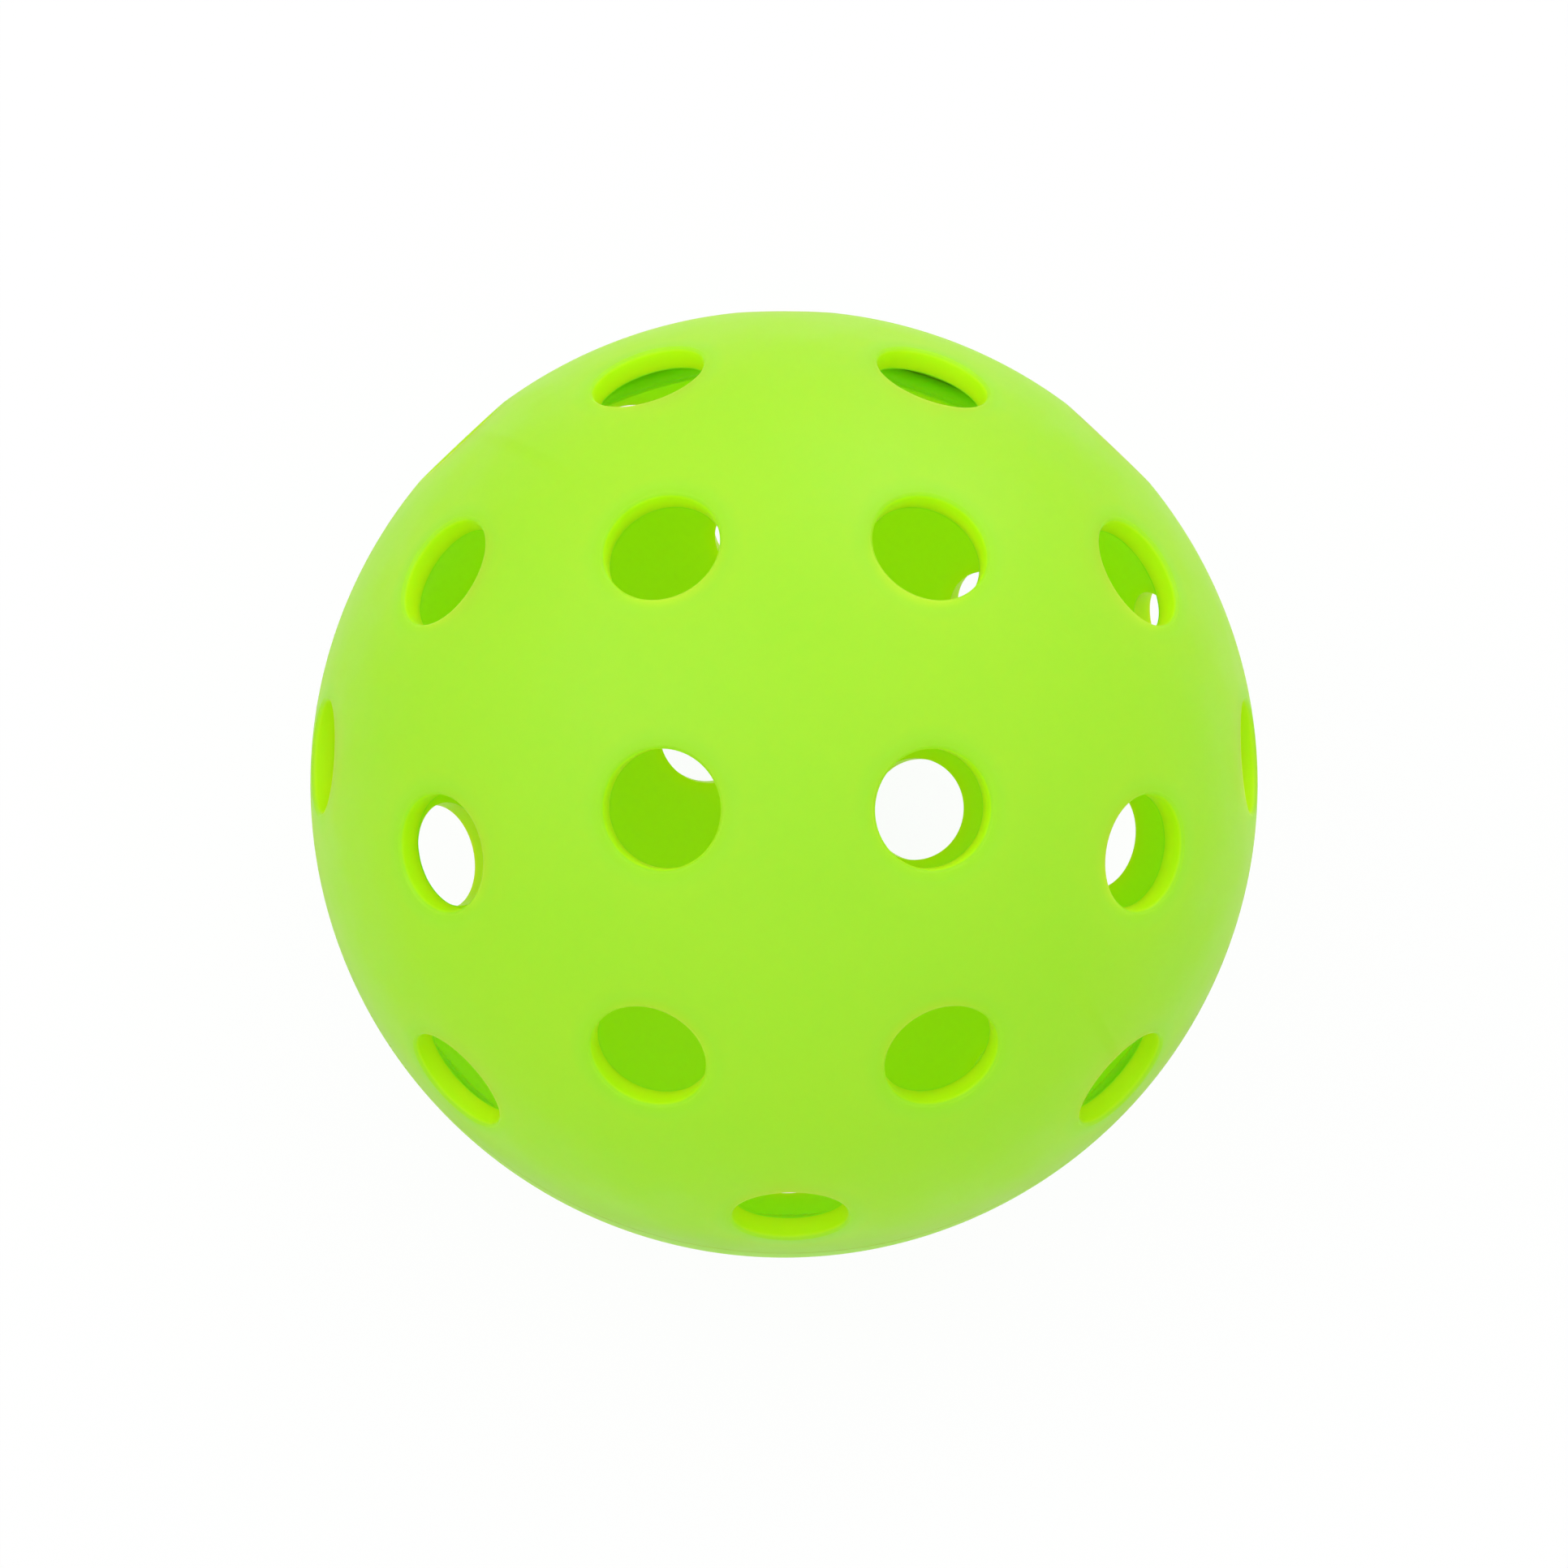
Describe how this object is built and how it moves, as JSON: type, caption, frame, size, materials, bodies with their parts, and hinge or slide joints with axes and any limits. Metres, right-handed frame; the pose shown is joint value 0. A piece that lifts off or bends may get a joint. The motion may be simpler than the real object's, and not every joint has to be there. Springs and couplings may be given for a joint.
{
  "type": "pickleball",
  "caption": "Hollow perforated plastic ball of two half shells welded at the equator, with rings of round holes, struck with a paddle on an outdoor court.",
  "frame": {"origin": "centre of the ball", "axes": "+Z through the pole of the upper half shell, the weld in the XY plane, and +X through the meridian of a hole of the upper half's ring nearest the weld"},
  "size_m": [0.074, 0.074, 0.074],
  "materials": {
    "shell": "satin, translucent",
    "weld": "satin, translucent"
  },
  "bodies": {
    "root": {"upper_half_shell": "shell", "lower_half_shell": "shell", "weld_bead": "weld"}
  },
  "joints": []
}
